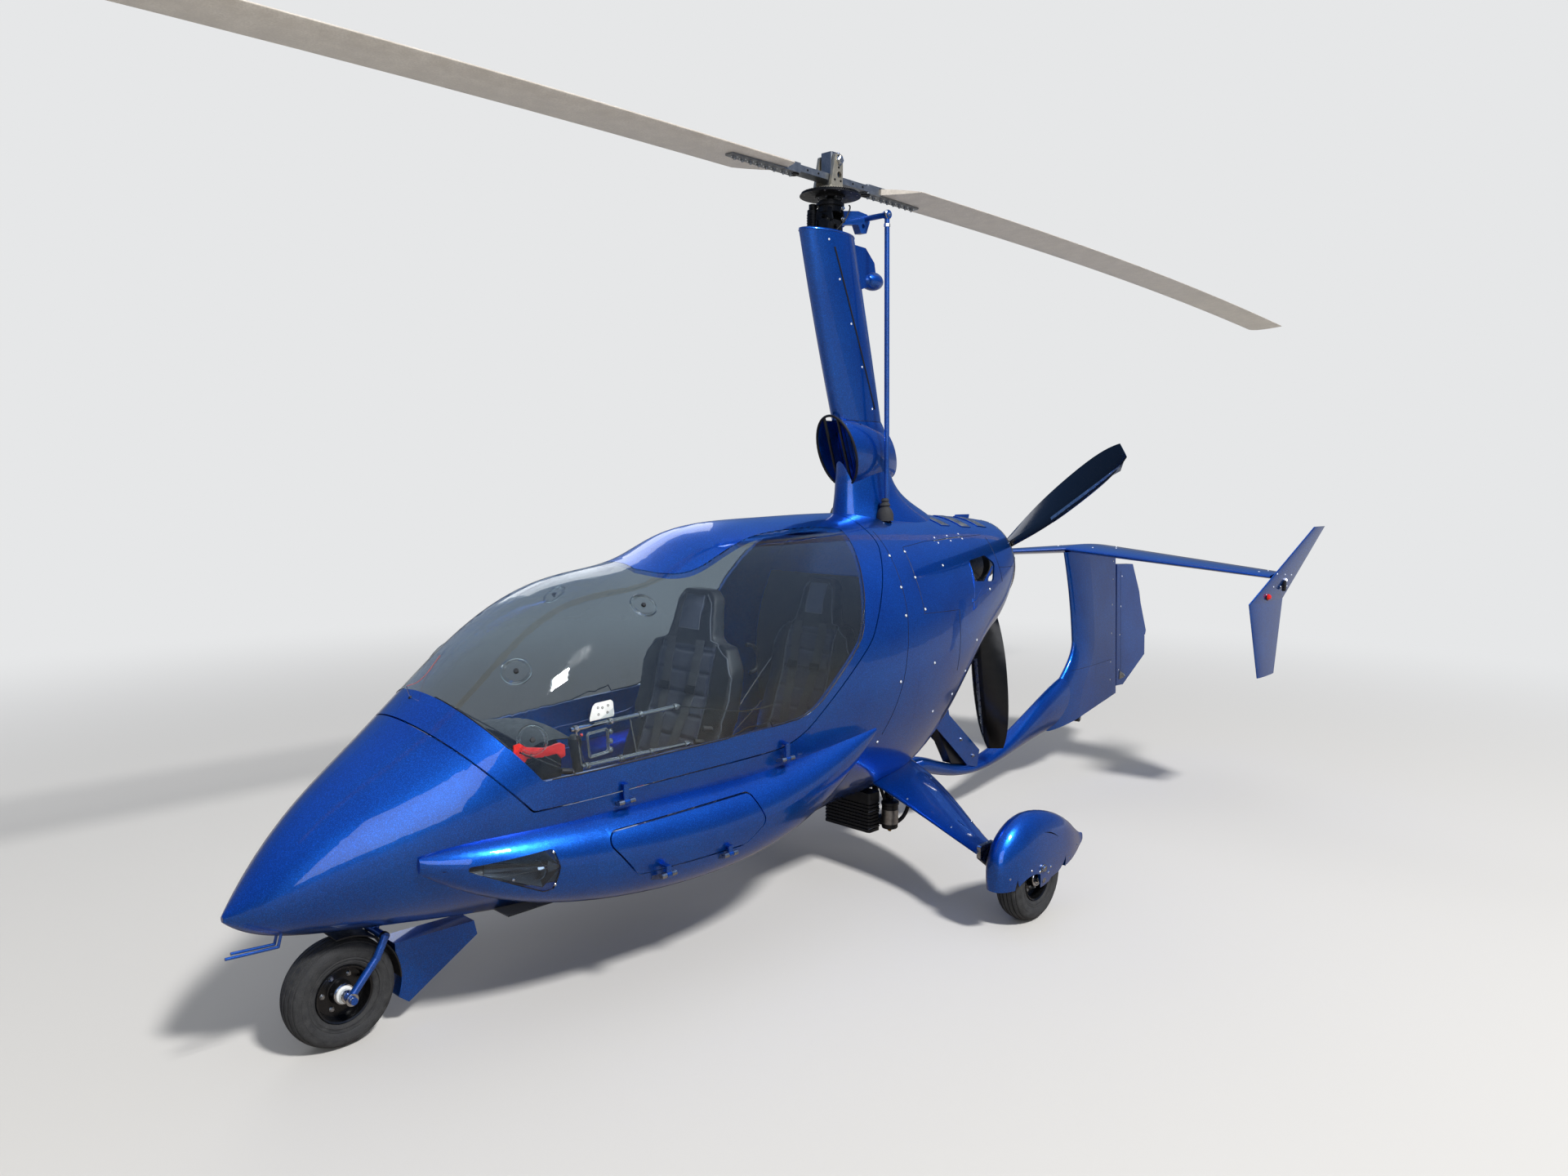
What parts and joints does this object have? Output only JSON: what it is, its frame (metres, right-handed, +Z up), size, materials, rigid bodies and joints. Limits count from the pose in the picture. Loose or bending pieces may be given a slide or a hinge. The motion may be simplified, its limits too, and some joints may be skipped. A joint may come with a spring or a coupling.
{
  "type": "gyrocopter",
  "caption": "Enclosed tandem gyrocopter on tricycle gear: free-turning teetering rotor on a mast, pusher propeller, keel boom, fin, rudder and tailplane with end fins",
  "frame": {"origin": "on the ground midway between the main wheels, under the rotor hub, at the middle of the rotor's span fore and aft", "axes": "+X to port, +Y aft along the rotor as it is parked, +Z up"},
  "size_m": [2.116, 8.6616, 2.797],
  "materials": {
    "body_paint": "clear-coated metallic paint on a composite moulding",
    "canopy_window": "clear moulded acrylic",
    "black_plastic": "moulded, slightly rough",
    "blade_metal": "satin extrusion",
    "bar_metal": "machined and anodised grey",
    "frame_metal": "welded tube",
    "steel": "machined",
    "carbon": "black composite",
    "engine_metal": "cast",
    "panel_metal": "black coated sheet with metal-cased instruments",
    "tyre": "worn rubber",
    "rim": "black enamel",
    "upholstery": "woven cover"
  },
  "bodies": {
    "airframe": {"cabin_tub": "body_paint", "landing_lenses": "canopy_window", "locker_hinges": "steel", "canopy_hinges": "steel", "engine_cowl": "body_paint", "cowl_ring": "steel", "mast_fairing": "body_paint", "mast_base": "body_paint", "mast_tube": "frame_metal", "rotor_gimbal": "bar_metal", "push_rods": "frame_metal", "engine_block": "engine_metal", "radiator": "black_plastic", "tail_boom": "body_paint", "rudder_lugs": "steel", "stabiliser": "body_paint", "end_fins": "body_paint", "tail_roller": "black_plastic", "gear_legs": "body_paint", "main_axles": "steel", "wheel_spats": "body_paint", "steering_head": "steel", "mast_beacon": "body_paint", "pitch_yoke": "body_paint", "pitot_tubes": "steel", "radiator_hoses": "black_plastic", "keel_braces": "body_paint", "control_channel": "black_plastic", "seat_front": "upholstery", "seat_rear": "upholstery", "instrument_panel": "panel_metal"},
    "rotor_head": {"ring_gear": "steel", "hub_towers": "bar_metal"},
    "rotor": {"hub_bar": "bar_metal", "blade_straps": "bar_metal", "rotor_blade_fore": "blade_metal", "rotor_blade_aft": "blade_metal"},
    "propeller": {"propeller_hub": "bar_metal", "propeller_blades": "carbon"},
    "nose_gear": {"nose_fork": "steel", "nose_fairing": "body_paint", "nose_mudguard": "black_plastic"},
    "nose_wheel": {"nose_tyre": "tyre", "nose_rim": "rim"},
    "wheel_port": {"main_tyre_port": "tyre", "main_rim_port": "rim"},
    "wheel_starboard": {"main_tyre_starboard": "tyre", "main_rim_starboard": "rim"},
    "rudder": {"rudder": "body_paint"},
    "canopy": {"canopy_frame": "body_paint", "canopy_glass": "canopy_window"},
    "locker_door_port": {"locker_door_port": "body_paint"},
    "locker_door_starboard": {"locker_door_starboard": "body_paint"}
  },
  "joints": [
    {"name": "rotor_spin", "type": "hinge", "parent": "airframe", "child": "rotor_head", "pos_m": [0, 0, 2.64], "axis": [0, 0, 1], "continuous": true},
    {"name": "rotor_teeter", "type": "hinge", "parent": "rotor_head", "child": "rotor", "pos_m": [0, 0, 2.765], "axis": [1, 0, 0], "range_deg": [-7, 7]},
    {"name": "propeller_spin", "type": "hinge", "parent": "airframe", "child": "propeller", "pos_m": [0, 1.098, 1.167], "axis": [0, 1, 0], "continuous": true},
    {"name": "nose_steering", "type": "hinge", "parent": "airframe", "child": "nose_gear", "pos_m": [0, -1.89, 0.33], "axis": [0, 0.342, 0.9397], "range_deg": [-25, 25]},
    {"name": "nose_wheel_spin", "type": "hinge", "parent": "nose_gear", "child": "nose_wheel", "pos_m": [0, -2.008, 0.152], "axis": [1, 0, 0], "continuous": true},
    {"name": "wheel_port_spin", "type": "hinge", "parent": "airframe", "child": "wheel_port", "pos_m": [0.89, 0.1, 0.155], "axis": [1, 0, 0], "continuous": true},
    {"name": "wheel_starboard_spin", "type": "hinge", "parent": "airframe", "child": "wheel_starboard", "pos_m": [-0.89, 0.1, 0.155], "axis": [1, 0, 0], "continuous": true},
    {"name": "rudder_hinge", "type": "hinge", "parent": "airframe", "child": "rudder", "pos_m": [0, 2.452, 0.395], "axis": [0, -0.0648, 0.9979], "range_deg": [-25, 25]},
    {"name": "canopy_hinge", "type": "hinge", "parent": "airframe", "child": "canopy", "pos_m": [0.4, -1.32, 0.622], "axis": [0.0624, 0.9977, 0.0281], "range_deg": [0, 75]},
    {"name": "locker_door_port_hinge", "type": "hinge", "parent": "airframe", "child": "locker_door_port", "pos_m": [0.487, -1.11, 0.404], "axis": [0, 1, 0], "range_deg": [0, 90]},
    {"name": "locker_door_starboard_hinge", "type": "hinge", "parent": "airframe", "child": "locker_door_starboard", "pos_m": [-0.487, -1.11, 0.404], "axis": [0, -1, 0], "range_deg": [0, 90]}
  ]
}
